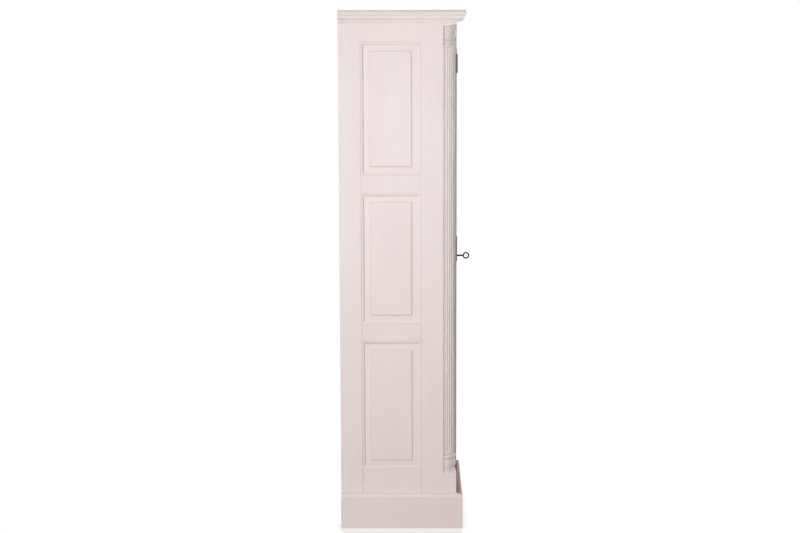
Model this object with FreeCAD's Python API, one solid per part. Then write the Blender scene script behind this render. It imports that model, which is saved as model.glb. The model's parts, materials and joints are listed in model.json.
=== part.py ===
"""Tall single-door office cupboard of painted solid wood.

Millimetres. The front faces -Y, the left side -X, the floor is Z = 0.
The origin is the centre of the bounding box on the floor, the key included.
"""
import FreeCAD
import Part

import math
import os

os.makedirs("parts", exist_ok=True)
V = FreeCAD.Vector

# Overall body
height = 2000.0
body_width = 510.0
body_depth = 450.0
board = 24.0
thin_board = 18.0

# Frames of the sides and the door
rear_stile_width = 84.0
corner = 50.0
front_stile_width = 86.0
middle_rail = 66.0
top_rail_show = 98.0
bottom_rail_show = 95.0
rail_foot = 60.0
front_rail_height = 113.0
door_stile_width = 70.0
door_top_rail = 70.0
tenon_length = 30.0
tenon_thickness = 8.0
tenon_shoulder = 12.0
joint_groove = 0.6

# Moulded edge of the frames and the raised panels
bead_width = 11.5
bead_drop = 2.6
bead_flat = 3.0
bead_lip = 1.6
panel_setback = 8.0
panel_thickness = 8.0
bevel_width = 25.0
bevel_rise = 1.2
field_step = 4.5
panel_play = 2.0

# Reeded corner columns
shaft_inset = 2.6
shaft_fillet = 2.0
ring_inset = 0.8
neck_inset = 5.0
flute_count = 8
flute_radius = 3.8
flute_depth = 3.0
column_tongue = 8.0
capital_top_gap = 10.0
capital_height = 74.0
base_bottom_gap = 83.0
base_height = 68.0
top_shoulder_rise = 9.0
base_shoulder_fall = 15.0

# Cornice
cornice_slab = 20.0
cornice_overhang = 36.0
nose_top_inset = 5.5
nose_low_inset = 3.0
nose_drop = 13.0
cornice_band_inset = 5.5
cornice_band_height = 14.5
cornice_band_round = 5.5
cornice_soffit = 10.0
cornice_cove_height = 7.0
cornice_step_reach = 10.0
cornice_foot_height = 8.0
cornice_foot_reach = 1.0

# Plinth
plinth_height = 135.0
plinth_projection = 24.0
plinth_ledge = 10.0

# Inside
back_board = 12.0
back_board_count = 4
back_board_groove = 2.0
housing = 6.0
shelf_count = 4
shelf_side_play = 1.5
shelf_front_gap = 4.0
pin_radius = 2.5
pin_in = 9.0
pin_out = 10.0
pin_hole_pitch = 32.0

# Door
hinge_gap = 2.6
lock_gap = 2.5
door_floor_gap = 4.0
door_head_gap = 3.0
door_proud = 1.0
strip_margin = 6.0
strip_lap = 6.0
strip_thickness = 8.0
strip_round = 3.0

# Lift-off hinges
hinge_height = 72.0
hinge_inset = 28.0
knuckle_radius = 4.0
hinge_pin_radius = 2.0
hinge_pin_fit = 0.05
knuckle_gap = 0.4
knuckle_recess = 0.5
leaf_thickness = 2.0
leaf_gap = 0.6
leaf_edge = 3.0
leaf_screws = 3
leaf_screw_inset = 5.5

# Countersunk screws, all alike
screw_length = 20.0
screw_radius = 1.6
screw_head_radius = 3.2
screw_slot = 0.8
screw_slot_depth = 0.7

# Lock, bolt and key
key_height = 1016.0
backset = 22.0
case_width = 52.0
case_height = 56.0
case_lug = 14.0
case_depth = 15.0
case_wall = 2.0
case_edge_gap = 3.0
bolt_thickness = 7.0
bolt_nose_height = 16.0
bolt_nose_drop = 10.0
bolt_throw = 10.0
bolt_play = 0.3
bolt_seat = 1.3
bolt_shy = 1.0
bolt_stop = 1.0
bolt_rim = 6.0
bit_reach = 12.0
bit_thickness = 3.0
bit_clearance = 0.4
bit_play = 1.0
shank_radius = 3.3
shank_fit = 0.05
keyhole_play = 0.5
shank_show = 22.7
bow_length = 27.0
bow_height = 27.0
bow_band = 5.0
bow_thickness = 4.4
escutcheon_width = 24.0
escutcheon_height = 103.0
escutcheon_thickness = 3.0
escutcheon_drop = 24.0
strike_height = 64.0
strike_width = 24.0
strike_thickness = 2.0
strike_screw_inset = 9.0
bolt_pocket_play = 1.0
bolt_pocket_end = 3.0

# Levels and planes that follow from the sizes above
key_reach = door_proud + strip_thickness + escutcheon_thickness + shank_show + bow_length
front_y = (key_reach - body_depth) / 2
back_y = front_y + body_depth
left_x = -body_width / 2
post_x = body_width / 2 - corner
inner_x = body_width / 2 - board
post_back_y = front_y + corner
body_top = height - cornice_slab
opening_top = body_top - top_rail_show
opening_bottom = plinth_height + bottom_rail_show
opening_height = (opening_top - opening_bottom - 2 * middle_rail) / 3
openings = []
for i in range(3):
    low = opening_bottom + i * (opening_height + middle_rail)
    openings.append((low, low + opening_height))
door_bottom = plinth_height + door_floor_gap
door_top = body_top - front_rail_height - door_head_gap
door_left = -post_x + hinge_gap
door_right = post_x - lock_gap
door_face = front_y - door_proud
door_back = door_face + board
floor_top = plinth_height
ceiling = body_top - thin_board
back_face = back_y - back_board
door_openings = openings[:2] + [(openings[2][0], door_top - door_top_rail)]
bead_round = bead_width - bead_flat
bead_fall = panel_setback - bead_drop - bead_lip
shaft_radius = corner - shaft_inset
ring_radius = corner - ring_inset
neck_radius = corner - neck_inset
band_low = body_top - cornice_band_height
cove_low = band_low - cornice_cove_height
foot_low = cove_low - cornice_foot_height
key_x = door_right - backset
key_z = key_height
strip_left = key_x - escutcheon_width / 2 - strip_margin


def box(x0, x1, y0, y1, z0, z1):
    """Box between two corners."""
    return Part.makeBox(x1 - x0, y1 - y0, z1 - z0, V(x0, y0, z0))


def wire(points):
    """Closed outline; a pair of points in the list is an arc, its middle then its end."""
    edges = []
    here = points[0]
    for step in points[1:] + [points[0]]:
        if isinstance(step, list):
            edges.append(Part.Arc(here, step[0], step[1]).toShape())
            here = step[1]
        elif (step - here).Length > 1e-6:
            edges.append(Part.makeLine(here, step))
            here = step
    return Part.Wire(edges)


def prism(points, along):
    """Solid swept straight from a closed outline."""
    return Part.Face(wire(points)).extrude(along)


def rod(radius, start, along):
    """Round bar from a start point along a vector."""
    return Part.makeCylinder(radius, along.Length, start, along)


def mirrored(shape):
    """Right-hand twin of a left-hand piece."""
    return shape.mirror(V(0, 0, 0), V(1, 0, 0))


def fused(shapes):
    """One clean solid from touching or overlapping shapes."""
    return shapes[0].multiFuse(shapes[1:]).removeSplitter()


def bead(start, end, into):
    """Moulded edge between two mitred corners, set down by a small step from the frame around an opening.

    The frame stands in the XZ plane, its face at Y = 0 and its back at Y = board.
    """
    along = end - start

    def at(reach, depth):
        return start + into * reach + V(0, depth, 0)

    swell = at(bead_flat + 0.72 * bead_round, bead_drop + 0.28 * bead_fall)
    lip = prism(
        [
            at(0, panel_setback),
            at(0, bead_drop),
            at(bead_flat, bead_drop),
            [swell, at(bead_width, bead_drop + bead_fall)],
            at(bead_width, panel_setback),
        ],
        along,
    )
    back_lip = prism(
        [
            at(0, panel_setback + panel_thickness),
            at(bead_width, panel_setback + panel_thickness),
            at(bead_width, board),
            at(0, board),
        ],
        along,
    )
    inset = along.normalize() * bead_width
    mitre = prism(
        [start, end, end + into * bead_width - inset, start + into * bead_width + inset],
        V(0, board, 0),
    )
    return [lip.common(mitre), back_lip.common(mitre)]


def rail(left, right, low, high, above, below):
    """Frame rail with a tenon at each end and a moulded edge where an opening meets it."""
    depth = (board - tenon_thickness) / 2
    shapes = [box(left, right, 0, board, low, high)]
    tenon = box(
        left - tenon_length,
        right + tenon_length,
        depth,
        depth + tenon_thickness,
        low + tenon_shoulder,
        high - tenon_shoulder,
    )
    shapes.append(tenon)
    if above:
        shapes += bead(V(left, 0, high), V(right, 0, high), V(0, 0, 1))
    if below:
        shapes += bead(V(left, 0, low), V(right, 0, low), V(0, 0, -1))
    grooves = []
    for x, side in ((left, 1), (right, -1)):
        grooves.append(
            prism(
                [V(x, 0, low), V(x + side * joint_groove, 0, low), V(x, joint_groove, low)],
                V(0, 0, high - low),
            )
        )
    return fused(shapes).cut(grooves)


def stile(edge, outer, low, high, spans):
    """Frame stile with its moulded edge along each opening, before the mortises are cut."""
    into = V(1, 0, 0) if outer < edge else V(-1, 0, 0)
    shapes = [box(min(edge, outer), max(edge, outer), 0, board, low, high)]
    for bottom, top in spans:
        shapes += bead(V(edge, 0, bottom), V(edge, 0, top), into)
    return fused(shapes)


def raised_panel(left, right, low, high):
    """Raised and fielded panel that floats in the frame's groove and sits on its bottom."""
    plate = box(
        left + panel_play,
        right - panel_play,
        panel_setback,
        panel_setback + panel_thickness,
        low,
        high - panel_play,
    )

    def ring(inset, depth):
        return Part.Wire(
            Part.makePolygon(
                [
                    V(left + inset, depth, low + inset),
                    V(right - inset, depth, low + inset),
                    V(right - inset, depth, high - inset),
                    V(left + inset, depth, high - inset),
                    V(left + inset, depth, low + inset),
                ]
            )
        )

    edge = bead_width + bevel_width
    bevel_top = panel_setback - bevel_rise
    bevel = Part.makeLoft([ring(bead_width, panel_setback), ring(edge, bevel_top)], True, True)
    field = box(
        left + edge,
        right - edge,
        bevel_top - field_step,
        bevel_top,
        low + edge,
        high - edge,
    )
    return fused([plate, bevel, field])


def framed(left, right, low, high, left_width, right_width, spans):
    """Stiles, rails and panels of one frame: two stiles, a list of rails and a list of panels."""
    inner_left = left + left_width
    inner_right = right - right_width
    levels = [low] + [z for span in spans for z in span] + [high]
    rails = []
    for n in range(len(spans) + 1):
        rails.append(
            rail(
                inner_left,
                inner_right,
                levels[2 * n],
                levels[2 * n + 1],
                n < len(spans),
                n > 0,
            )
        )
    first = stile(inner_left, left, low, high, spans).cut(rails)
    second = stile(inner_right, right, low, high, spans).cut(rails)
    panels = []
    for bottom, top in spans:
        panels.append(raised_panel(inner_left, inner_right, bottom, top))
    return first, second, rails, panels


def countersunk(point, along):
    """Slotted countersunk screw: the head's rim at the point, the shank running along."""
    cone = screw_head_radius - screw_radius
    head = Part.makeCone(screw_head_radius, screw_radius, cone, point, along)
    shank = rod(screw_radius, point, along * screw_length)
    return fused([head, shank])


def slotted(screw, point, along):
    """The same screw with its driver slot, which lies level."""
    side = along.cross(V(0, 0, 1))
    reach = side * (screw_head_radius + 1)
    half = V(0, 0, screw_slot / 2)
    slot = prism(
        [point - reach - half, point + reach - half, point + reach + half, point - reach + half],
        along * screw_slot_depth,
    )
    return screw.cut(slot)


def save(name, shape):
    """One file for each named piece."""
    shape.exportStep("parts/" + name + ".step")


# Side frames: built flat with the rear edge at X = 0, then turned to stand at the left
side_rear, side_front, side_rails, side_panels = framed(
    0,
    body_depth - corner,
    rail_foot,
    body_top,
    rear_stile_width,
    front_stile_width,
    openings,
)
front_edge = body_depth - corner
tongue = box(
    front_edge,
    front_edge + column_tongue,
    (board - column_tongue) / 2,
    (board + column_tongue) / 2,
    0,
    body_top,
)
rear_foot = box(0, rear_stile_width, 0, board, 0, rail_foot)
front_foot = box(front_edge - front_stile_width, front_edge, 0, board, 0, rail_foot)
side_rear = fused([side_rear, rear_foot])
side_front = fused([side_front, front_foot, tongue])
side_place = FreeCAD.Placement(V(left_x, back_y, 0), FreeCAD.Rotation(V(0, 0, 1), -90))


def stand_left(shape):
    """Moves a flat-built side piece to the left side of the body."""
    turned = shape.copy()
    turned.Placement = side_place.multiply(turned.Placement)
    return turned


# Top and bottom boards, housed in the sides and cut around the corner columns
boards = {}
for name, low in (("carcass_top", ceiling), ("bottom_board", floor_top - thin_board)):
    wide = box(-inner_x - housing, inner_x + housing, post_back_y, back_face, low, low + thin_board)
    tongue_front = box(-post_x, post_x, front_y + board, post_back_y, low, low + thin_board)
    boards[name] = fused([wide, tongue_front])

# Back boards with fine V grooves, set in a rebate of the rear stiles
back_low = floor_top - thin_board
rebate_x = inner_x + back_board
back_pieces = []
back_width = 2 * rebate_x / back_board_count
for i in range(back_board_count):
    x0 = -rebate_x + i * back_width
    plank = box(x0, x0 + back_width, back_face, back_y, back_low, body_top)
    for x, side in ((x0, 1), (x0 + back_width, -1)):
        for y, deep in ((back_face, 1), (back_y, -1)):
            groove = [
                V(x, y, back_low),
                V(x + side * back_board_groove, y, back_low),
                V(x, y + deep * back_board_groove, back_low),
            ]
            plank = plank.cut(prism(groove, V(0, 0, body_top - back_low)))
    back_pieces.append(plank)

# Rails between the corners
rail_tenon = (board - tenon_thickness) / 2


def cross_rail(half, y0, low, high):
    """Plain rail between the two sides with a stub tenon at each end."""
    core = box(-half, half, y0, y0 + board, low, high)
    tenon = box(
        -half - column_tongue,
        half + column_tongue,
        y0 + rail_tenon,
        y0 + rail_tenon + tenon_thickness,
        low + tenon_shoulder,
        high - tenon_shoulder,
    )
    return fused([core, tenon])


front_top_rail = cross_rail(post_x, front_y, door_top + door_head_gap, body_top)
front_bottom_rail = cross_rail(post_x, front_y, rail_foot, plinth_height)
rear_bottom_rail = cross_rail(inner_x, back_y - board, rail_foot, back_low)

# Shelves, their pins and the holes for them
bay = (ceiling - floor_top - shelf_count * thin_board) / (shelf_count + 1)
shelves = []
pins = []
pin_holes = []
pin_ys = (post_back_y + front_stile_width / 2, back_y - rear_stile_width / 2)
for i in range(shelf_count):
    low = floor_top + (i + 1) * bay + i * thin_board
    shelves.append(
        box(
            -inner_x + shelf_side_play,
            inner_x - shelf_side_play,
            post_back_y + shelf_front_gap,
            back_face - shelf_front_gap,
            low,
            low + thin_board,
        )
    )
    for y in pin_ys:
        start = V(-inner_x - pin_in, y, low - pin_radius)
        pin = rod(pin_radius, start, V(pin_in + pin_out, 0, 0))
        pins.append(pin)
        pins.append(mirrored(pin))
        for step in (-1, 0, 1):
            shift = V(0, 0, step * pin_hole_pitch)
            pin_holes.append(rod(pin_radius, start + shift, V(pin_in, 0, 0)))

# Side pieces with the housings, the back rebate and the pin holes cut in
side_cutters = [boards["carcass_top"], boards["bottom_board"], rear_bottom_rail]
rebate = box(-rebate_x, rebate_x, back_face, back_y, back_low, body_top)
left_rear = stand_left(side_rear).cut(side_cutters + [rebate] + pin_holes)
left_front = stand_left(side_front).cut(side_cutters + pin_holes)
left_rails = []
for shape in side_rails:
    left_rails.append(stand_left(shape).cut(side_cutters))
left_panels = []
for shape in side_panels:
    left_panels.append(stand_left(shape))

# Corner column: a square post turned about its inner corner, with sloping shoulders
axis = V(-post_x, post_back_y, 0)
capital_top = foot_low - capital_top_gap
capital_low = capital_top - capital_height
base_low = plinth_height + base_bottom_gap
base_top = base_low + base_height
square_radius = corner * math.sqrt(2) + 1


def turned(radius, z):
    """Point of the turned outline at a radius and a height."""
    return axis + V(-radius, 0, z)


bell = capital_height * 0.69
outline = [
    axis,
    turned(square_radius, 0),
    turned(square_radius, base_low - base_shoulder_fall),
    turned(ring_radius, base_low),
    turned(ring_radius, base_low + base_height * 0.08),
    turned(neck_radius + 1.2, base_low + base_height * 0.12),
    [
        turned(ring_radius - 0.6, base_low + base_height * 0.42),
        turned(neck_radius, base_low + base_height * 0.66),
    ],
    turned(neck_radius, base_low + base_height * 0.7),
    [
        turned(ring_radius, base_low + base_height * 0.83),
        turned(neck_radius, base_low + base_height * 0.96),
    ],
    turned(neck_radius, base_top),
    turned(shaft_radius, base_top + shaft_fillet),
    turned(shaft_radius, capital_low - shaft_fillet),
    turned(neck_radius, capital_low),
    turned(neck_radius, capital_low + capital_height * 0.11),
    [
        turned(ring_radius, capital_low + capital_height * 0.195),
        turned(neck_radius, capital_low + capital_height * 0.28),
    ],
    turned(neck_radius + 1.5, capital_low + capital_height * 0.32),
    turned(neck_radius, capital_low + capital_height * 0.34),
    turned(neck_radius, capital_low + capital_height * 0.43),
    [
        turned(ring_radius, capital_low + bell),
        turned(neck_radius + 0.6, capital_low + capital_height * 0.84),
    ],
    turned(neck_radius, capital_low + capital_height * 0.95),
    turned(ring_radius, capital_top),
    turned(square_radius, capital_top + top_shoulder_rise),
    turned(square_radius, body_top),
    axis + V(0, 0, body_top),
]
turning = Part.Face(wire(outline)).revolve(axis, V(0, 0, 1), 360)
post = box(left_x, left_x + corner, front_y, post_back_y, 0, body_top)
flutes = []
flute_low = base_top + shaft_fillet + flute_radius
flute_high = capital_low - shaft_fillet - flute_radius
for i in range(flute_count):
    angle = math.radians(180 + 90 * i / flute_count)
    reach = shaft_radius + flute_radius - flute_depth
    centre = axis + V(reach * math.cos(angle), reach * math.sin(angle), flute_low)
    flutes.append(rod(flute_radius, centre, V(0, 0, flute_high - flute_low)))
    flutes.append(Part.makeSphere(flute_radius, centre))
    flutes.append(Part.makeSphere(flute_radius, centre + V(0, 0, flute_high - flute_low)))
column = post.common(turning).cut(flutes)
left_column = column.cut([left_front, front_top_rail, front_bottom_rail])
right_column = mirrored(left_column)


# Mouldings planted around the body: the front length and the left length meet in a mitre
def planted(profile, reach, low, high):
    """Front and left lengths of a moulding, its profile given as reach and height."""

    def place(item, spot):
        if isinstance(item, list):
            return [spot(*corner_point) for corner_point in item]
        return spot(*item)

    front_profile = [place(item, lambda a, z: V(left_x - reach, front_y - a, z)) for item in profile]
    front = prism(front_profile, V(body_width + 2 * reach, 0, 0))
    left_profile = [place(item, lambda a, z: V(left_x - a, front_y - reach, z)) for item in profile]
    left = prism(left_profile, V(0, body_depth + reach, 0))
    front_plan = prism(
        [
            V(left_x, front_y, low),
            V(left_x - reach, front_y - reach, low),
            V(-left_x + reach, front_y - reach, low),
            V(-left_x, front_y, low),
        ],
        V(0, 0, high - low),
    )
    left_plan = prism(
        [
            V(left_x, front_y, low),
            V(left_x - reach, front_y - reach, low),
            V(left_x - reach, back_y, low),
            V(left_x, back_y, low),
        ],
        V(0, 0, high - low),
    )
    return front.common(front_plan), left.common(left_plan)


band_reach = cornice_overhang - cornice_band_inset
band_low_reach = band_reach - cornice_band_round
cove_reach = band_low_reach - cornice_soffit
cove_mid = cornice_step_reach + 0.25 * (cove_reach - cornice_step_reach)
step_reach = (cornice_step_reach + cornice_foot_reach) / 2
foot_mid = cornice_foot_reach + 0.3 * (step_reach - cornice_foot_reach)
cornice_front, cornice_left = planted(
    [
        (0, foot_low),
        (cornice_foot_reach, foot_low),
        [(foot_mid, foot_low + cornice_foot_height / 2), (step_reach, cove_low)],
        (cornice_step_reach, cove_low),
        [(cove_mid, cove_low + 0.6 * cornice_cove_height), (cove_reach, band_low)],
        (band_low_reach, band_low),
        [
            (band_reach - 0.28 * cornice_band_round, band_low + 0.72 * cornice_band_round),
            (band_reach, band_low + 2 * cornice_band_round),
        ],
        (band_reach, body_top),
        (0, body_top),
    ],
    band_reach,
    foot_low,
    body_top,
)

# Cornice slab: its swelling nose runs along the front and both ends
slab_x = body_width / 2 + cornice_overhang
slab_y = front_y - cornice_overhang
nose_z = height - nose_drop
nose_upper = (0.3 * nose_top_inset, height - 0.45 * nose_drop)
nose_lower = (0.25 * nose_low_inset, (body_top + nose_z) / 2 - 0.5)
slab_across = prism(
    [
        V(-slab_x + nose_low_inset, slab_y, body_top),
        V(slab_x - nose_low_inset, slab_y, body_top),
        [V(slab_x - nose_lower[0], slab_y, nose_lower[1]), V(slab_x, slab_y, nose_z)],
        [V(slab_x - nose_upper[0], slab_y, nose_upper[1]), V(slab_x - nose_top_inset, slab_y, height)],
        V(-slab_x + nose_top_inset, slab_y, height),
        [V(-slab_x + nose_upper[0], slab_y, nose_upper[1]), V(-slab_x, slab_y, nose_z)],
        [V(-slab_x + nose_lower[0], slab_y, nose_lower[1]), V(-slab_x + nose_low_inset, slab_y, body_top)],
    ],
    V(0, back_y - slab_y, 0),
)
slab_deep = prism(
    [
        V(-slab_x, back_y, body_top),
        V(-slab_x, slab_y + nose_low_inset, body_top),
        [V(-slab_x, slab_y + nose_lower[0], nose_lower[1]), V(-slab_x, slab_y, nose_z)],
        [V(-slab_x, slab_y + nose_upper[0], nose_upper[1]), V(-slab_x, slab_y + nose_top_inset, height)],
        V(-slab_x, back_y, height),
    ],
    V(2 * slab_x, 0, 0),
)
cornice_top = slab_across.common(slab_deep)

plinth_round = plinth_projection - plinth_ledge
arc_mid = plinth_round * (1 - math.sqrt(0.5))
plinth_front, plinth_left = planted(
    [
        (0, 0),
        (plinth_projection, 0),
        (plinth_projection, plinth_height - plinth_round),
        [
            (plinth_projection - arc_mid, plinth_height - arc_mid),
            (plinth_ledge, plinth_height),
        ],
        (0, plinth_height),
    ],
    plinth_projection,
    0,
    plinth_height,
)

# Door frame and panels
hinge_stile, lock_stile, door_rails, door_panels = framed(
    door_left,
    door_right,
    door_bottom,
    door_top,
    door_stile_width,
    door_stile_width,
    door_openings,
)
door_shift = V(0, door_face, 0)
for shape in [hinge_stile, lock_stile] + door_rails + door_panels:
    shape.translate(door_shift)
strip = box(
    strip_left,
    door_right + strip_lap,
    door_face - strip_thickness,
    door_face,
    door_bottom,
    door_top,
)
strip_edges = []
for edge in strip.Edges:
    upright = abs(edge.Vertexes[0].Z - edge.Vertexes[-1].Z) > 1
    if upright and edge.CenterOfMass.y < door_face - strip_thickness / 2:
        strip_edges.append(edge)
strip = strip.makeFillet(strip_round, strip_edges)

# Hinges: the fixed leaf carries the lower knuckle and the pin, the door leaf the upper one
pin_x = -post_x + hinge_gap / 2
pin_y = door_face
frame_leaves = []
door_leaves = []
hinge_pins = []
frame_screws = []
door_screws = []
frame_screw_holes = []
door_screw_holes = []
barrel_recesses = []
leaf_sunk = leaf_thickness - (hinge_gap - leaf_gap) / 2
leaf_front = pin_y + knuckle_radius + knuckle_recess
leaf_back = door_back - leaf_edge
fixed_x = -post_x - leaf_sunk
swing_x = door_left + leaf_sunk - leaf_thickness
for low in (door_top - hinge_inset - hinge_height, door_bottom + hinge_inset):
    high = low + hinge_height
    middle = low + hinge_height / 2
    for x0, part_low, part_high, group in (
        (fixed_x, low, middle - knuckle_gap / 2, frame_leaves),
        (swing_x, middle + knuckle_gap / 2, high, door_leaves),
    ):
        plate = box(x0, x0 + leaf_thickness, leaf_front, leaf_back, low, high)
        arm = box(x0, x0 + leaf_thickness, pin_y, leaf_front, part_low, part_high)
        tall = V(0, 0, part_high - part_low)
        knuckle = rod(knuckle_radius, V(pin_x, pin_y, part_low), tall)
        bore = hinge_pin_radius if group is frame_leaves else hinge_pin_radius + hinge_pin_fit
        hole = rod(bore, V(pin_x, pin_y, part_low), tall)
        group.append(fused([plate, arm, knuckle]).cut(hole))
    hinge_pins.append(rod(hinge_pin_radius, V(pin_x, pin_y, low), V(0, 0, hinge_height)))
    recess = knuckle_radius + knuckle_recess
    barrel_recesses.append(rod(recess, V(pin_x, pin_y, low), V(0, 0, hinge_height)))
    for n in range(leaf_screws):
        z = low + hinge_height * (n + 0.5) / leaf_screws
        y = leaf_back - leaf_screw_inset
        fixed_point = V(fixed_x + leaf_thickness, y, z)
        swing_point = V(swing_x, y, z)
        frame_screw_holes.append(countersunk(fixed_point, V(-1, 0, 0)))
        door_screw_holes.append(countersunk(swing_point, V(1, 0, 0)))
        frame_screws.append(slotted(frame_screw_holes[-1], fixed_point, V(-1, 0, 0)))
        door_screws.append(slotted(door_screw_holes[-1], swing_point, V(1, 0, 0)))
frame_leaves = [leaf.cut(frame_screw_holes) for leaf in frame_leaves]
door_leaves = [leaf.cut(door_screw_holes) for leaf in door_leaves]
leaf_mortises = []
for low in (door_top - hinge_inset - hinge_height, door_bottom + hinge_inset):
    for x0 in (fixed_x, swing_x):
        leaf_mortises.append(
            box(
                x0,
                x0 + leaf_thickness,
                pin_y,
                leaf_back,
                low,
                low + hinge_height,
            )
        )
left_column = left_column.cut(barrel_recesses + leaf_mortises + frame_screw_holes)
hinge_stile = hinge_stile.cut(barrel_recesses + leaf_mortises + door_screw_holes)

# Lock case on the back of the lock stile
case_right = door_right - case_edge_gap
case_left = case_right - case_width
case_low = key_z - case_height / 2
case_high = key_z + case_height / 2
case_back = door_back + case_depth
bolt_front = door_back + bolt_seat
bolt_back = bolt_front + bolt_thickness
case_shell = box(case_left, case_right, door_back, case_back, case_low, case_high)
case_hollow = box(
    case_left + case_wall,
    case_right - case_wall,
    door_back,
    case_back - case_wall,
    case_low + case_wall,
    case_high - case_wall,
)
bolt_slot = box(
    case_right - case_wall,
    case_right,
    bolt_front - bolt_play,
    bolt_back + bolt_play,
    key_z - bolt_nose_drop - bolt_play,
    key_z - bolt_nose_drop + bolt_nose_height + bolt_play,
)
key_seat = rod(shank_radius + shank_fit, V(key_x, case_back - case_wall, key_z), V(0, case_wall, 0))
lug_plate = box(
    case_left,
    case_right,
    door_back,
    door_back + case_wall,
    case_low - case_lug,
    case_high + case_lug,
)
lock_case = fused([case_shell, lug_plate]).cut([case_hollow, bolt_slot, key_seat])

# Bolt plate with a window in which the key's bit turns: the bit's tip stays clear of its right wall
bit_lead = 0
for step in range(91):
    turn = math.radians(step)
    tip = bit_reach * math.sin(turn) + bit_thickness / 2 * math.cos(turn)
    bit_lead = max(bit_lead, tip - bolt_throw * step / 90)
window_right = key_x + bit_lead + bit_clearance
window_left = key_x - shank_radius - bolt_throw - bit_play
window_low = key_z - bit_reach - bit_play
window_high = key_z + shank_radius + bit_play
plate_right = case_right - case_wall - bolt_throw - bolt_stop
bolt_tip = door_right - bolt_shy
bolt_plate = box(
    window_left - bolt_rim,
    plate_right,
    bolt_front,
    bolt_back,
    window_low - bolt_rim,
    window_high + bolt_rim,
)
bolt_nose = box(
    plate_right,
    bolt_tip,
    bolt_front,
    bolt_back,
    key_z - bolt_nose_drop,
    key_z - bolt_nose_drop + bolt_nose_height,
)
window = box(window_left, window_right, bolt_front, bolt_back, window_low, window_high)
lock_bolt = fused([bolt_plate, bolt_nose]).cut(window)

# Escutcheon and the keyhole through it, the closing strip and the stile
plate_face = door_face - strip_thickness - escutcheon_thickness
half_width = escutcheon_width / 2
plate_low = key_z - escutcheon_drop
plate_high = plate_low + escutcheon_height
escutcheon = prism(
    [
        V(key_x - half_width, plate_face, plate_low + half_width),
        [V(key_x, plate_face, plate_low), V(key_x + half_width, plate_face, plate_low + half_width)],
        V(key_x + half_width, plate_face, plate_high - half_width),
        [V(key_x, plate_face, plate_high), V(key_x - half_width, plate_face, plate_high - half_width)],
    ],
    V(0, escutcheon_thickness, 0),
)
through = V(0, door_back - plate_face, 0)
keyhole_round = rod(shank_radius + keyhole_play, V(key_x, plate_face, key_z), through)
keyhole_slot = box(
    key_x - bit_thickness / 2 - keyhole_play,
    key_x + bit_thickness / 2 + keyhole_play,
    plate_face,
    door_back,
    key_z - bit_reach - keyhole_play,
    key_z,
)
keyhole = fused([keyhole_round, keyhole_slot])
escutcheon = escutcheon.cut(keyhole)
strip = strip.cut(keyhole)
lock_stile = lock_stile.cut(keyhole)

# Key with a ring bow, standing upright in the lock with the bit down
shank_front = plate_face - shank_show
bow_centre = V(key_x, shank_front - bow_length / 2, key_z)
shank = rod(shank_radius, V(key_x, shank_front, key_z), V(0, case_back - shank_front, 0))
bit = box(
    key_x - bit_thickness / 2,
    key_x + bit_thickness / 2,
    bolt_front,
    bolt_back,
    key_z - bit_reach,
    key_z,
)


def oval(long_axis, short_axis):
    """Upright oval disc of the bow, centred on it."""
    curve = Part.Ellipse(V(0, 0, 0), long_axis / 2, short_axis / 2).toShape()
    disc = Part.Face(Part.Wire(curve)).extrude(V(0, 0, bow_thickness))
    disc.rotate(V(0, 0, 0), V(0, 0, 1), 90)
    disc.rotate(V(0, 0, 0), V(0, 1, 0), 90)
    disc.translate(bow_centre - V(bow_thickness / 2, 0, 0))
    return disc


bow_disc = oval(bow_length, bow_height)
bow_hole = oval(bow_length - 2 * bow_band, bow_height - 2 * bow_band)
neck = rod(shank_radius, V(key_x, shank_front - bow_band / 2, key_z), V(0, bow_band / 2, 0))
key = fused([bow_disc.cut(bow_hole), neck, shank, bit])

# Strike plate let into the right column, with the pocket for the bolt behind it
bolt_mid = (bolt_front + bolt_back) / 2
strike_low = key_z - bolt_nose_drop + bolt_nose_height / 2 - strike_height / 2
strike = box(
    post_x,
    post_x + strike_thickness,
    bolt_mid - strike_width / 2,
    bolt_mid + strike_width / 2,
    strike_low,
    strike_low + strike_height,
)
pocket = box(
    post_x,
    bolt_tip + bolt_throw + bolt_pocket_end,
    bolt_front - bolt_pocket_play,
    bolt_back + bolt_pocket_play,
    key_z - bolt_nose_drop - bolt_pocket_play,
    key_z - bolt_nose_drop + bolt_nose_height + bolt_pocket_play,
)
strike_holes = []
for z in (strike_low + strike_screw_inset, strike_low + strike_height - strike_screw_inset):
    point = V(post_x, bolt_mid, z)
    strike_holes.append(countersunk(point, V(1, 0, 0)))
    frame_screws.append(slotted(strike_holes[-1], point, V(1, 0, 0)))
right_column = right_column.cut([strike, pocket] + strike_holes)
strike_plate = strike.cut([pocket] + strike_holes)

# Lock screws through the lugs of the case into the stile
case_holes = []
for x in (case_left + case_lug / 2, case_right - case_lug / 2):
    for z in (case_low - case_lug / 2, case_high + case_lug / 2):
        point = V(x, door_back + case_wall, z)
        case_holes.append(countersunk(point, V(0, -1, 0)))
        door_screws.append(slotted(case_holes[-1], point, V(0, -1, 0)))
lock_case = lock_case.cut(case_holes)
lock_stile = lock_stile.cut(case_holes)

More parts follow.
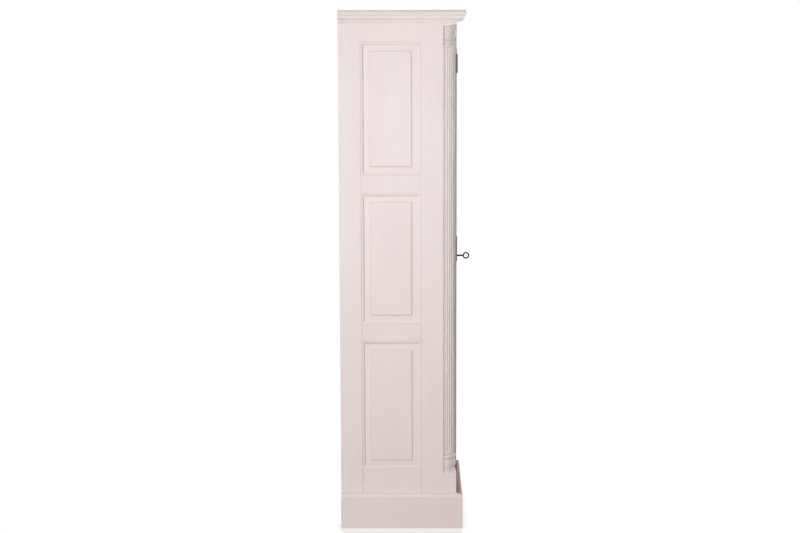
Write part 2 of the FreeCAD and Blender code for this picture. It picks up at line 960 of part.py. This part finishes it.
save("left_rear_stile", left_rear)
save("left_front_stile", left_front)
save("left_column", left_column)
save("right_rear_stile", mirrored(left_rear))
save("right_front_stile", mirrored(left_front))
save("right_column", right_column)
for name, shape in zip(("bottom", "lower", "upper", "top"), left_rails):
    save("left_" + name + "_rail", shape)
    save("right_" + name + "_rail", mirrored(shape))
for name, shape in zip(("lower", "middle", "upper"), left_panels):
    save("left_" + name + "_panel", shape)
    save("right_" + name + "_panel", mirrored(shape))
save("carcass_top", boards["carcass_top"])
save("bottom_board", boards["bottom_board"])
save("back_boards", Part.makeCompound(back_pieces))
save("front_top_rail", front_top_rail)
save("front_bottom_rail", front_bottom_rail)
save("rear_bottom_rail", rear_bottom_rail)
for name, shape in zip(("lowest", "second", "third", "highest"), shelves):
    save("shelf_" + name, shape)
save("shelf_pins", Part.makeCompound(pins))
save("cornice_top", cornice_top)
save("cornice_front", cornice_front)
save("cornice_left", cornice_left)
save("cornice_right", mirrored(cornice_left))
save("plinth_front", plinth_front)
save("plinth_left", plinth_left)
save("plinth_right", mirrored(plinth_left))
save("door_hinge_stile", hinge_stile)
save("door_lock_stile", lock_stile)
for name, shape in zip(("bottom", "lower", "upper", "top"), door_rails):
    save("door_" + name + "_rail", shape)
for name, shape in zip(("lower", "middle", "upper"), door_panels):
    save("door_" + name + "_panel", shape)
save("door_closing_strip", strip)
for name, fixed, swing in zip(("upper", "lower"), frame_leaves, door_leaves):
    save(name + "_hinge_frame_leaf", fixed)
    save(name + "_hinge_door_leaf", swing)
save("hinge_pins", Part.makeCompound(hinge_pins))
save("frame_screws", Part.makeCompound(frame_screws))
save("door_screws", Part.makeCompound(door_screws))
save("lock_case", lock_case)
save("lock_bolt", lock_bolt)
save("escutcheon", escutcheon)
save("key", key)
save("strike_plate", strike_plate)
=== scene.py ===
"""Office cupboard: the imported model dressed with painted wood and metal, on a plain pale floor."""

import json
import math

import bpy
from mathutils import Matrix, Vector

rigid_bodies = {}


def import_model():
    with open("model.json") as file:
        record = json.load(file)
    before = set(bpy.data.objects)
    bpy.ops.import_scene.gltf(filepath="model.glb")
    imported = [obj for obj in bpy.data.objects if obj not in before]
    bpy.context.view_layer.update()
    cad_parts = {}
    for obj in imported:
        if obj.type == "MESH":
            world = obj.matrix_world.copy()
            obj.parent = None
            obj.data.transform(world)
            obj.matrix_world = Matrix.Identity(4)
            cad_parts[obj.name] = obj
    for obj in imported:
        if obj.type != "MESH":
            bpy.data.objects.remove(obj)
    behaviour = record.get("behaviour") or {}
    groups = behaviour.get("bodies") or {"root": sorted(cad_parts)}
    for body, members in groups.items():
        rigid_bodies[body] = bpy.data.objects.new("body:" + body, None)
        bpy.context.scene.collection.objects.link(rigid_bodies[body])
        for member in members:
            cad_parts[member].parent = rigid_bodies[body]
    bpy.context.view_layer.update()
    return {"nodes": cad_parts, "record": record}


for old in list(bpy.data.objects):
    bpy.data.objects.remove(old, do_unlink=True)
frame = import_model()
nodes = frame["nodes"]
scene = bpy.context.scene

# Tones of the paint and its grain; of painted shade in gaps, creases and under faces; of the brown
# painted shade on the plinth's front ledge; of dark seams and of painted shade in a column's open
# gap
PAINT_LIGHT = (0.82, 0.785, 0.785)
PAINT_WARM = (0.795, 0.752, 0.748)
PAINT_GRAIN = (0.745, 0.69, 0.675)
PAINT_SHADE = (0.42, 0.32, 0.27)
PAINT_TOP_SHADE = (0.26, 0.125, 0.069)
PAINT_SEAM_AND_GAP_SHADE = (0.25, 0.2, 0.195)

# Patterns in the paint: scale, stretch along the wood, strength and depth of the bump
STROKE_SCALE, STROKE_STRETCH, STROKE_BUMP = 620.0, 0.035, (0.16, 0.0004)
GRAIN_SCALE, GRAIN_STRETCH, GRAIN_BUMP = 190.0, 0.02, (0.12, 0.0005)
CLOUD_SCALE, CLOUD_STRETCH = 5.5, (1.0, 1.0, 0.5)
GRAIN_SHARE = 0.22
PAINT_ROUGHNESS = (0.38, 0.54)
PAINT_SPECULAR = 0.38

# Ranges of a noise, of the openness of a point and of the tilt of a face that an effect runs over
NOISE_MIDDLE = (0.3, 0.7)
GRAIN_RANGE = (0.52, 0.75)
PATCH_RANGE = (0.35, 0.68)
GAP_RANGE = (0.15, 0.6)
CREASE_RANGE = (0.5, 0.95)
LOOKS_DOWN = (-0.4, -0.12)
LOOKS_UP = (0.0, 0.2)

# Metal: times that scratches are finer than patches, and strength and depth of each bump
SCRATCH_FINER = 14
SCRATCH_STRETCH = (1.0, 0.08, 1.0)
SCRATCH_BUMP = (0.2, 0.0002)
PATCH_BUMP = (0.15, 0.0004)

# Shading in hollows: number of rays, and reach in metres
HOLLOW_SAMPLES = 8
HOLLOW_REACH = 0.006
# Metres over which a seam fades at its ends
SEAM_FADE = 0.002


# Node graph helpers
def blank(name):
    """Material with an empty graph."""
    material = bpy.data.materials.new(name)
    material.use_nodes = True
    material.node_tree.nodes.clear()
    return material, material.node_tree


def graph(name):
    """Material with one shader led to its output."""
    material, tree = blank(name)
    shader = tree.nodes.new("ShaderNodeBsdfPrincipled")
    out = tree.nodes.new("ShaderNodeOutputMaterial")
    tree.links.new(shader.outputs["BSDF"], out.inputs["Surface"])
    return material, tree, shader


def noise(tree, stretch, scale, detail=4.0, roughness=0.55):
    """Noise in the object's own metres, stretched along an axis."""
    place = tree.nodes.new("ShaderNodeTexCoord")
    mapping = tree.nodes.new("ShaderNodeMapping")
    mapping.inputs["Scale"].default_value = stretch
    texture = tree.nodes.new("ShaderNodeTexNoise")
    texture.inputs["Scale"].default_value = scale
    texture.inputs["Detail"].default_value = detail
    texture.inputs["Roughness"].default_value = roughness
    tree.links.new(place.outputs["Object"], mapping.inputs["Vector"])
    tree.links.new(mapping.outputs["Vector"], texture.inputs["Vector"])
    return texture.outputs["Fac"]


def drawn_out(along, stretch):
    """Scales of a noise that is drawn out along one axis."""
    return [stretch if axis == along else 1.0 for axis in "XYZ"]


def remap(tree, value, low, high, to_low, to_high):
    """Value carried from one range to another, held at its ends."""
    node = tree.nodes.new("ShaderNodeMapRange")
    node.inputs["From Min"].default_value = low
    node.inputs["From Max"].default_value = high
    node.inputs["To Min"].default_value = to_low
    node.inputs["To Max"].default_value = to_high
    tree.links.new(value, node.inputs["Value"])
    return node.outputs["Result"]


def combined(tree, operation, first, second):
    """Result of a maths operation on two sockets."""
    node = tree.nodes.new("ShaderNodeMath")
    node.operation = operation
    tree.links.new(first, node.inputs[0])
    tree.links.new(second, node.inputs[1])
    return node.outputs[0]


def mixed(tree, factor, first, second):
    """Colour between two colours; either may be a socket."""
    node = tree.nodes.new("ShaderNodeMix")
    node.data_type = "RGBA"
    tree.links.new(factor, node.inputs["Factor"])
    for value, socket in ((first, node.inputs[6]), (second, node.inputs[7])):
        if isinstance(value, tuple):
            socket.default_value = (*value, 1.0)
        else:
            tree.links.new(value, socket)
    return node.outputs[2]


def bumped(tree, shader, layers):
    """Chain of bumps, each given as height, strength and depth in metres."""
    normal = None
    for height, strength, depth in layers:
        node = tree.nodes.new("ShaderNodeBump")
        node.inputs["Strength"].default_value = strength
        node.inputs["Distance"].default_value = depth
        tree.links.new(height, node.inputs["Height"])
        if normal is not None:
            tree.links.new(normal, node.inputs["Normal"])
        normal = node.outputs["Normal"]
    tree.links.new(normal, shader.inputs["Normal"])


def hollow(tree, own):
    """How open a point is, from nought in a deep corner to one.

    With own, only the piece itself closes it in.
    """
    node = tree.nodes.new("ShaderNodeAmbientOcclusion")
    node.samples = HOLLOW_SAMPLES
    node.only_local = own
    node.inputs["Distance"].default_value = HOLLOW_REACH
    return node.outputs["AO"]


def tilt(tree):
    """How far a face looks up, from minus one to one."""
    surface = tree.nodes.new("ShaderNodeNewGeometry")
    split = tree.nodes.new("ShaderNodeSeparateXYZ")
    tree.links.new(surface.outputs["True Normal"], split.inputs[0])
    return split.outputs["Z"]


def seam(tree, edge, levels, width):
    """Strength of a dark line along an upright joint, for a dark seam and for painted shade in an
    open gap; levels are (low, high, strength) each.

    The line lies in front of the edge, or behind it where the width is below nought.
    """
    place = tree.nodes.new("ShaderNodeTexCoord")
    split = tree.nodes.new("ShaderNodeSeparateXYZ")
    tree.links.new(place.outputs["Object"], split.inputs[0])
    near = remap(tree, split.outputs["Y"], edge - width, edge - 0.5 * width, 0.0, 1.0)
    total = None
    for low, high, strength in levels:
        above = remap(tree, split.outputs["Z"], low, low + SEAM_FADE, 0.0, strength)
        below = remap(tree, split.outputs["Z"], high - SEAM_FADE, high, 1.0, 0.0)
        part = near
        for limit in (above, below):
            part = combined(tree, "MULTIPLY", part, limit)
        total = part if total is None else combined(tree, "ADD", total, part)
    return total


def paint(name, along, gap_shade=0.25, crease_shade=0.0, underside_shade=0.0, top_shade=0.0, joints=()):
    """Satin off-white brushed paint on wood; the strokes and the grain run along one axis.

    Painted shade darkens the gaps between pieces, the piece's own steps and flutes, and the faces
    that look down, and in brown the faces that look up; joints are dark seams, beside a column
    painted gap shade.
    """
    material, tree, shader = graph(name)
    strokes = noise(tree, drawn_out(along, STROKE_STRETCH), STROKE_SCALE, 3.0)
    grain_lines = noise(tree, drawn_out(along, GRAIN_STRETCH), GRAIN_SCALE, 5.0, 0.6)
    clouds = noise(tree, CLOUD_STRETCH, CLOUD_SCALE, 3.0)
    tint = mixed(tree, remap(tree, clouds, *NOISE_MIDDLE, 0.0, 1.0), PAINT_WARM, PAINT_LIGHT)
    tint = mixed(tree, remap(tree, grain_lines, *GRAIN_RANGE, 0.0, GRAIN_SHARE), tint, PAINT_GRAIN)
    # Painted shade where other pieces close a point in
    gap_shade_mask = remap(tree, hollow(tree, False), *GAP_RANGE, gap_shade, 0.0)
    tint = mixed(tree, gap_shade_mask, tint, PAINT_SHADE)
    if crease_shade:
        # Painted shade in the piece's own steps and flutes
        crease_shade_mask = remap(tree, hollow(tree, True), *CREASE_RANGE, crease_shade, 0.0)
        tint = mixed(tree, crease_shade_mask, tint, PAINT_SHADE)
    if underside_shade:
        # Painted shade on faces that look down
        tint = mixed(tree, remap(tree, tilt(tree), *LOOKS_DOWN, underside_shade, 0.0), tint, PAINT_SHADE)
    if top_shade:
        # Brown painted shade on faces that look up
        tint = mixed(tree, remap(tree, tilt(tree), *LOOKS_UP, 0.0, top_shade), tint, PAINT_TOP_SHADE)
    # Dark seams at joints, and painted shade in the open gap beside a column
    for edge, levels, width in joints:
        tint = mixed(tree, seam(tree, edge, levels, width), tint, PAINT_SEAM_AND_GAP_SHADE)
    tree.links.new(tint, shader.inputs["Base Color"])
    gloss = remap(tree, strokes, *NOISE_MIDDLE, *PAINT_ROUGHNESS)
    tree.links.new(gloss, shader.inputs["Roughness"])
    shader.inputs["Specular IOR Level"].default_value = PAINT_SPECULAR
    bumped(tree, shader, [(strokes, *STROKE_BUMP), (grain_lines, *GRAIN_BUMP)])
    return material


def metal(name, dark, light, roughness, metallic, scale, specular):
    """Worn metal: patches between two tones, fine scratches and uneven gloss."""
    material, tree, shader = graph(name)
    patches = noise(tree, (1.0, 1.0, 1.0), scale, 5.0, 0.62)
    scratches = noise(tree, SCRATCH_STRETCH, scale * SCRATCH_FINER, 2.0)
    tint = mixed(tree, remap(tree, patches, *PATCH_RANGE, 0.0, 1.0), dark, light)
    tree.links.new(tint, shader.inputs["Base Color"])
    gloss = remap(tree, patches, *NOISE_MIDDLE, *roughness)
    tree.links.new(gloss, shader.inputs["Roughness"])
    shader.inputs["Metallic"].default_value = metallic
    shader.inputs["Specular IOR Level"].default_value = specular
    bumped(tree, shader, [(scratches, *SCRATCH_BUMP), (patches, *PATCH_BUMP)])
    return material


# Pairs of levels in metres with a strength: painted shade in the open gap beside the base and the
# capital of a column, and dark seams at the shoulders of a bottom rail
COLUMN_GAP_SHADE_LEVELS = ((0.212, 0.288, 0.55), (1.8655, 1.942, 1.0))
BOTTOM_RAIL_LEVELS = ((0.138, 0.232, 0.4),)
LOWER_RAIL_STRENGTH = 0.24
UPPER_RAIL_STRENGTH = 0.1
# Metres: widths of the painted gap shade and of the seams, of the stiles of a side and of the
# moulded edge of a side rail
COLUMN_GAP_SHADE_WIDTH = 0.004
RAIL_SEAM = 0.003
FRONT_STILE = 0.086
REAR_STILE = 0.084
RAIL_MOULDING = 0.012

# A column ends where the front stile begins, and the side at the back of the rear stile
column_edge = max(corner[1] for corner in nodes["left_column"].bound_box)
back_edge = max(corner[1] for corner in nodes["left_rear_stile"].bound_box)


def shoulders(levels):
    """The seams at the two shoulders of the side rails, between pairs of levels."""
    return [
        (column_edge + FRONT_STILE, levels, -RAIL_SEAM),
        (back_edge - REAR_STILE, levels, RAIL_SEAM),
    ]


def between_mouldings(name, strength):
    """Levels between the moulded edges of a side rail, with the strength of its seams."""
    heights = [corner[2] for corner in nodes[name].bound_box]
    return (min(heights) + RAIL_MOULDING, max(heights) - RAIL_MOULDING, strength)


rail_levels = (
    between_mouldings("left_lower_rail", LOWER_RAIL_STRENGTH),
    between_mouldings("left_upper_rail", UPPER_RAIL_STRENGTH),
)
# Each paint darkens its gaps, its own steps and flutes, and its downward faces by painted shade, at
# its own strength
plain_paints = {axis: paint("white_paint_" + axis.lower(), axis) for axis in "XZ"}
panel_paint = paint("panel_paint", "Z", crease_shade=0.4, underside_shade=0.9)
# Cornice: strong painted shade in its gaps and under its band
cornice_paints = {axis: paint("cornice_paint_" + axis.lower(), axis, gap_shade=0.7) for axis in "XY"}
# Column: painted shade in its flutes, and painted shade in the open gap beside its base and capital
column_paint = paint(
    "column_paint", "Z", crease_shade=0.15, joints=[(column_edge, COLUMN_GAP_SHADE_LEVELS, COLUMN_GAP_SHADE_WIDTH)]
)
rail_paints = {
    "X": paint("rail_paint_x", "X", gap_shade=0.42, crease_shade=0.45),
    "Y": paint("rail_paint_y", "Y", gap_shade=0.42, crease_shade=0.45, joints=shoulders(rail_levels)),
}
# Bottom rail: little painted shade, with dark seams at its shoulders
bottom_rail_paint = paint(
    "bottom_rail_paint", "Y", gap_shade=0.1, crease_shade=0.1, joints=shoulders(BOTTOM_RAIL_LEVELS)
)
stile_paint = paint("stile_paint", "Z", gap_shade=0.2, crease_shade=0.45)
plinth_paint = paint("plinth_paint", "Y", gap_shade=0.0)
# Paint of the plinth's front: a brown painted shade on its ledge, on the faces that look up
shaded_ledge_paint = paint("shaded_ledge_paint", "X", top_shade=0.92)

# Dark and light tone, lowest and highest roughness, metallic share, scale of the patches, specular
METALS = {
    "dark_bronze": ((0.13, 0.1, 0.1), (0.27, 0.2, 0.205), (0.38, 0.62), 0.85, 130.0, 0.5),
    "grey_iron": ((0.11, 0.1, 0.096), (0.23, 0.215, 0.21), (0.4, 0.62), 0.8, 110.0, 0.5),
    "black_iron": ((0.005, 0.003, 0.003), (0.014, 0.009, 0.009), (0.5, 0.72), 0.1, 150.0, 0.08),
    "steel": ((0.2, 0.195, 0.19), (0.36, 0.35, 0.34), (0.32, 0.5), 0.95, 160.0, 0.5),
    "brass": ((0.45, 0.31, 0.11), (0.68, 0.50, 0.21), (0.25, 0.42), 1.0, 160.0, 0.5),
}
metals = {name: metal(name, *values) for name, values in METALS.items()}

# Rails and boards of the carcass whose grain runs from side to side
ACROSS = ("front_top_rail", "front_bottom_rail", "rear_bottom_rail", "carcass_top", "bottom_board")
SIDE_BOTTOM_RAILS = ("left_bottom_rail", "right_bottom_rail")
# Eased edges: metres and radians
WOOD_EASE = 0.0005
METAL_EASE = 0.0004
EASE_SEGMENTS = 2
EASE_ANGLE = math.radians(34)
FLAT_ANGLE = math.radians(0.4)
WELD_REACH = 2e-5


def wood_paint(name):
    """Paint of a wooden node; the grain of rails, boards and cornice follows their length."""
    # The plinth's front takes the paint with brown painted shade on its ledge
    if name == "plinth_front":
        return shaded_ledge_paint
    if name.startswith("plinth_"):
        return plinth_paint
    if name.endswith("_panel"):
        return panel_paint
    if name.endswith("_column"):
        return column_paint
    if name.endswith("_stile"):
        return stile_paint
    if name.startswith("cornice_"):
        return cornice_paints["X" if name in ("cornice_front", "cornice_top") else "Y"]
    if name in SIDE_BOTTOM_RAILS:
        return bottom_rail_paint
    if name.endswith("_rail"):
        return rail_paints["X" if name in ACROSS or name.startswith("door_") else "Y"]
    return plain_paints["X" if name in ACROSS or name.startswith("shelf_") else "Z"]


def soften(obj, width):
    """Eased edges: coplanar faces are joined first so that each edge gets one clean round."""
    weld = obj.modifiers.new("join_seams", "WELD")
    weld.merge_threshold = WELD_REACH
    flat = obj.modifiers.new("flat_faces", "DECIMATE")
    flat.decimate_type = "DISSOLVE"
    flat.angle_limit = FLAT_ANGLE
    ease = obj.modifiers.new("eased_edges", "BEVEL")
    ease.width = width
    ease.segments = EASE_SEGMENTS
    ease.limit_method = "ANGLE"
    ease.angle_limit = EASE_ANGLE
    ease.use_clamp_overlap = True
    ease.loop_slide = False
    shade = obj.modifiers.new("face_shading", "WEIGHTED_NORMAL")
    shade.keep_sharp = False


slots = {entry["node"]: entry["material_slot"] for entry in frame["record"]["subparts"]}
for name, obj in nodes.items():
    wooden = slots[name] == "white_paint"
    obj.data.materials.clear()
    obj.data.materials.append(wood_paint(name) if wooden else metals[slots[name]])
    soften(obj, WOOD_EASE if wooden else METAL_EASE)

# Stage: a pale floor that is white to the camera outside the shadow
FLOOR_SIZE = 200.0
FLOOR_BOUNCE = (0.64, 0.50, 0.41)
FLOOR_TINT = (1.0, 0.99, 0.985)
FLOOR_WHITE = 1.02
FLOOR_SHEEN = 0.4
SHEEN_ROUGHNESS = 0.2
CONTACT_REACH = 0.03
CONTACT_SAMPLES = 16
CONTACT_RANGE = (0.5, 1.0)
CONTACT_SHADE = 0.75
WHITE = (1.0, 1.0, 1.0)


def seen_rays(tree):
    """One for what the camera sees, straight or by reflection, and nought for bounced light."""
    rays = tree.nodes.new("ShaderNodeLightPath")
    seen = rays.outputs["Is Camera Ray"]
    for kind in ("Is Glossy Ray", "Is Transmission Ray"):
        seen = combined(tree, "MAXIMUM", seen, rays.outputs[kind])
    return seen


def split_view(tree, bounced, seen, output):
    """One shader for bounced light and another for what is seen, led to the output."""
    choose = tree.nodes.new("ShaderNodeMixShader")
    tree.links.new(seen_rays(tree), choose.inputs["Fac"])
    tree.links.new(bounced, choose.inputs[1])
    tree.links.new(seen, choose.inputs[2])
    tree.links.new(choose.outputs[0], tree.nodes.new(output).inputs["Surface"])


def floor_material():
    """Warm pale floor for bounced light; what is seen is white with a contact shade and a sheen."""
    material, tree = blank("pale_floor")
    bounce = tree.nodes.new("ShaderNodeBsdfDiffuse")
    bounce.inputs["Color"].default_value = (*FLOOR_BOUNCE, 1.0)
    sheen = tree.nodes.new("ShaderNodeBsdfGlossy")
    sheen.inputs["Color"].default_value = (*WHITE, 1.0)
    sheen.inputs["Roughness"].default_value = SHEEN_ROUGHNESS
    contact = tree.nodes.new("ShaderNodeAmbientOcclusion")
    contact.samples = CONTACT_SAMPLES
    contact.inputs["Distance"].default_value = CONTACT_REACH
    white = tree.nodes.new("ShaderNodeEmission")
    white.inputs["Color"].default_value = (*FLOOR_TINT, 1.0)
    shade = remap(tree, contact.outputs["AO"], *CONTACT_RANGE, CONTACT_SHADE, FLOOR_WHITE)
    tree.links.new(shade, white.inputs["Strength"])
    both = tree.nodes.new("ShaderNodeMixShader")
    both.inputs["Fac"].default_value = FLOOR_SHEEN
    tree.links.new(white.outputs[0], both.inputs[1])
    tree.links.new(sheen.outputs[0], both.inputs[2])
    split_view(tree, bounce.outputs[0], both.outputs[0], "ShaderNodeOutputMaterial")
    return material


bpy.ops.mesh.primitive_plane_add(size=FLOOR_SIZE, location=(0.0, 0.0, 0.0))
floor = bpy.context.object
floor.name = "floor"
floor.data.materials.append(floor_material())

# World: dim warm fill on the object, plain white to the camera
WORLD_FILL = (1.0, 0.93, 0.89)
WORLD_STRENGTH = 0.26


def surround(tree, colour, strength):
    """Even light from all around."""
    node = tree.nodes.new("ShaderNodeBackground")
    node.inputs["Color"].default_value = (*colour, 1.0)
    node.inputs["Strength"].default_value = strength
    return node.outputs[0]


world = bpy.data.worlds.new("studio")
scene.world = world
world.use_nodes = True
sky = world.node_tree
sky.nodes.clear()
fill = surround(sky, WORLD_FILL, WORLD_STRENGTH)
plain = surround(sky, WHITE, 1.0)
split_view(sky, fill, plain, "ShaderNodeOutputWorld")

# Lamps: place, target, size in metres, power in watts, colour, spread of the beam in degrees
LAMPS = {
    "key_light": ((-5.2, 2.0, 1.75), (-0.25, 0.0, 1.6), 1.2, 35.5, (1.0, 0.997, 1.0), 85.0),
    "top_fill": ((-2.4, 0.8, 3.6), (-0.25, -0.05, 0.42), 0.8, 1.5, (1.0, 0.95, 0.94), 38.0),
    "low_fill": ((-1.7, -0.15, 0.15), (-0.27, -0.1, 2.05), 0.5, 0.28, (1.0, 0.97, 0.97), 30.0),
    "left_fill": ((-3.3, -3.4, 1.7), (-0.25, -0.1, 1.3), 1.8, 9.5, (1.0, 0.86, 0.82), 180.0),
    "front_fill": ((3.4, -3.6, 1.7), (0.0, 0.0, 1.2), 2.4, 90.0, (1.0, 0.9, 0.87), 180.0),
    "back_fill": ((2.4, 4.2, 1.8), (0.0, 0.1, 1.1), 2.4, 80.0, (1.0, 0.95, 0.92), 180.0),
}


def area_light(name, place, target, size, power, colour, spread):
    """Square soft light aimed at a point; a spread below 180 degrees narrows its beam."""
    data = bpy.data.lights.new(name, "AREA")
    data.size = size
    data.energy = power
    data.color = colour
    data.spread = math.radians(spread)
    obj = bpy.data.objects.new(name, data)
    obj.location = place
    aim = Vector(target) - Vector(place)
    obj.rotation_euler = aim.to_track_quat("-Z", "Y").to_euler()
    obj.visible_camera = False
    scene.collection.objects.link(obj)


for name, values in LAMPS.items():
    area_light(name, *values)

# Camera at the photograph's viewing angle: pixels, then radians, then metres
IMAGE_WIDTH_PX = 800.0
FOCAL_PX = 1650.7
SHIFT_PX = 10.0
YAW = math.radians(0.6828)
PITCH = math.radians(7.8208)
ROLL = math.radians(-0.1802)
PLACE = Vector((-6.5423, -0.0518, 1.8522))
CLIP_END = 100.0
SENSOR_WIDTH_MM = 36.0
forward = Vector((math.cos(YAW), math.sin(YAW), 0.0))
right = Vector((math.sin(YAW), -math.cos(YAW), 0.0))
up = Vector((0.0, 0.0, 1.0))
look = forward * math.cos(PITCH) - up * math.sin(PITCH)
lift = up * math.cos(PITCH) + forward * math.sin(PITCH)
side = right * math.cos(ROLL) + lift * math.sin(ROLL)
head = lift * math.cos(ROLL) - right * math.sin(ROLL)
camera_data = bpy.data.cameras.new("camera")
camera_data.sensor_width = SENSOR_WIDTH_MM
camera_data.lens = SENSOR_WIDTH_MM * FOCAL_PX / IMAGE_WIDTH_PX
camera_data.shift_y = SHIFT_PX / IMAGE_WIDTH_PX
camera_data.clip_end = CLIP_END
camera = bpy.data.objects.new("camera", camera_data)
rotation = Matrix((side, head, -look)).transposed().to_4x4()
camera.matrix_world = Matrix.Translation(PLACE) @ rotation
scene.collection.objects.link(camera)
scene.camera = camera
scene.view_settings.view_transform = "Standard"
